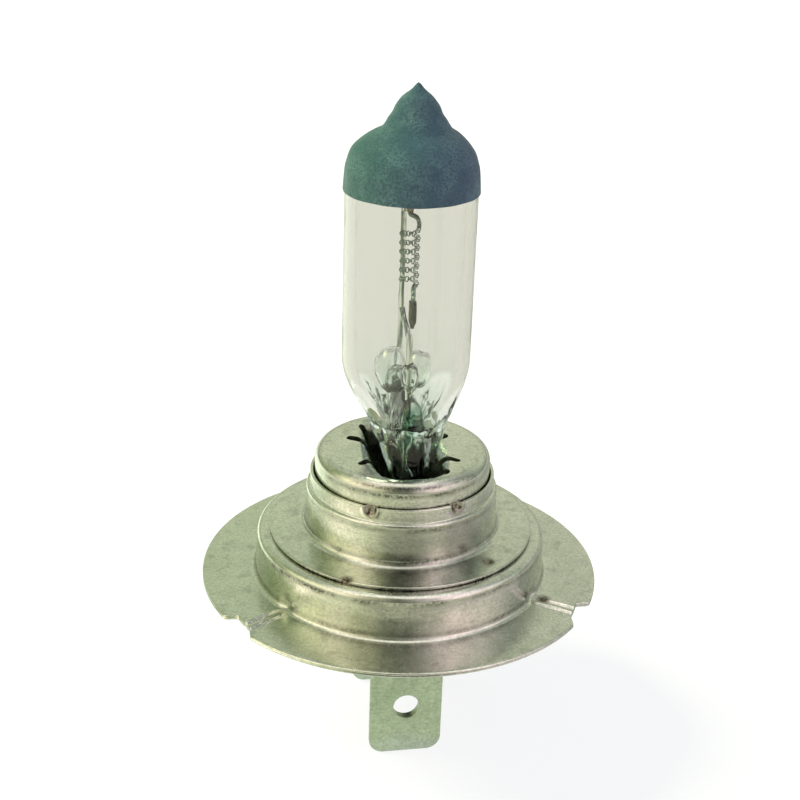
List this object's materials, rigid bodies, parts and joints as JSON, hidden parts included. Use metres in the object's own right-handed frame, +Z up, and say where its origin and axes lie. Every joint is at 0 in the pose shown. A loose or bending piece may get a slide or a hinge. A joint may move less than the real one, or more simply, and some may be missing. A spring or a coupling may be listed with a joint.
{
  "type": "halogen headlight bulb",
  "caption": "Halogen headlight bulb: painted-tip quartz tube with coiled filament, stepped metal prefocus cap with notched flange, and two flat blades.",
  "frame": {"origin": "centre of the locating flange's glass-side face, on the bulb's axis", "axes": "+Z up the glass towards the tip, Y through the two blades, which face +Y and -Y"},
  "size_m": [0.034, 0.0339, 0.0575],
  "materials": {
    "quartz": "clear polished quartz with a faint green tint",
    "glare_paint": "matte baked anti-glare paint with a fine texture",
    "tungsten": "drawn tungsten wire",
    "molybdenum": "bright molybdenum wire and foil",
    "cup_steel": "satin plated sheet steel",
    "ring_steel": "satin plated sheet steel",
    "flange_steel": "satin plated sheet steel",
    "contact": "matte tinned contact strip",
    "insulator": "dark heat-proof moulding"
  },
  "bodies": {
    "root": {"glass_envelope": "quartz", "glare_coating": "glare_paint", "filament": "tungsten", "long_lead_wire": "molybdenum", "short_lead_wire": "molybdenum", "upper_crimp": "molybdenum", "lower_crimp": "molybdenum", "sealing_foil_front": "molybdenum", "sealing_foil_rear": "molybdenum", "outer_lead_front": "molybdenum", "outer_lead_rear": "molybdenum", "clamp_cup": "cup_steel", "focus_ring": "ring_steel", "locating_flange": "flange_steel", "insulator": "insulator", "terminal_blade_front": "contact", "terminal_blade_rear": "contact"}
  },
  "joints": []
}
